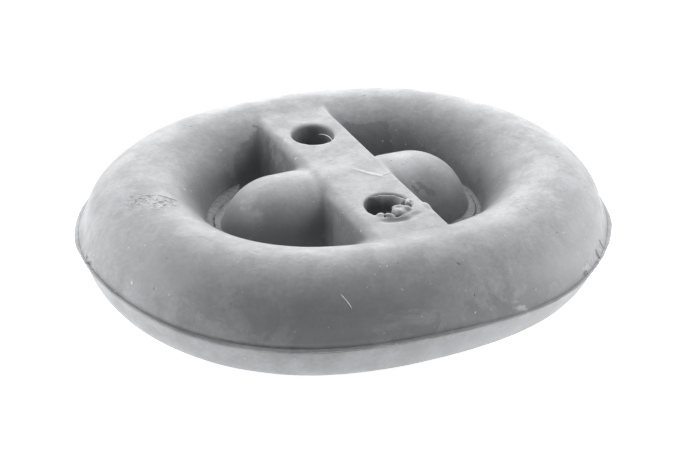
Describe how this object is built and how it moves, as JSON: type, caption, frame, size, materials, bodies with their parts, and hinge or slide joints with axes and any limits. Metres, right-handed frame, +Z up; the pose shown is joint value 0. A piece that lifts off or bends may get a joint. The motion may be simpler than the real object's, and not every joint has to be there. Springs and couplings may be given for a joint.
{
  "type": "exhaust hanger rubber",
  "caption": "Oval moulded rubber ring with a cross bar that carries the hook holes, and round bump stops that limit its stretch.",
  "frame": {"origin": "middle of the cross bar, on the plane where the two mould halves part", "axes": "+X the long way of the ring, along the bump stops; +Y along the cross bar through both hook holes; +Z up, along the hook holes"},
  "size_m": [0.0848, 0.0728, 0.018],
  "materials": {
    "rubber": "satin moulded rubber, dusty and lightly scuffed"
  },
  "bodies": {
    "root": {"hanger_rubber": "rubber"}
  },
  "joints": []
}
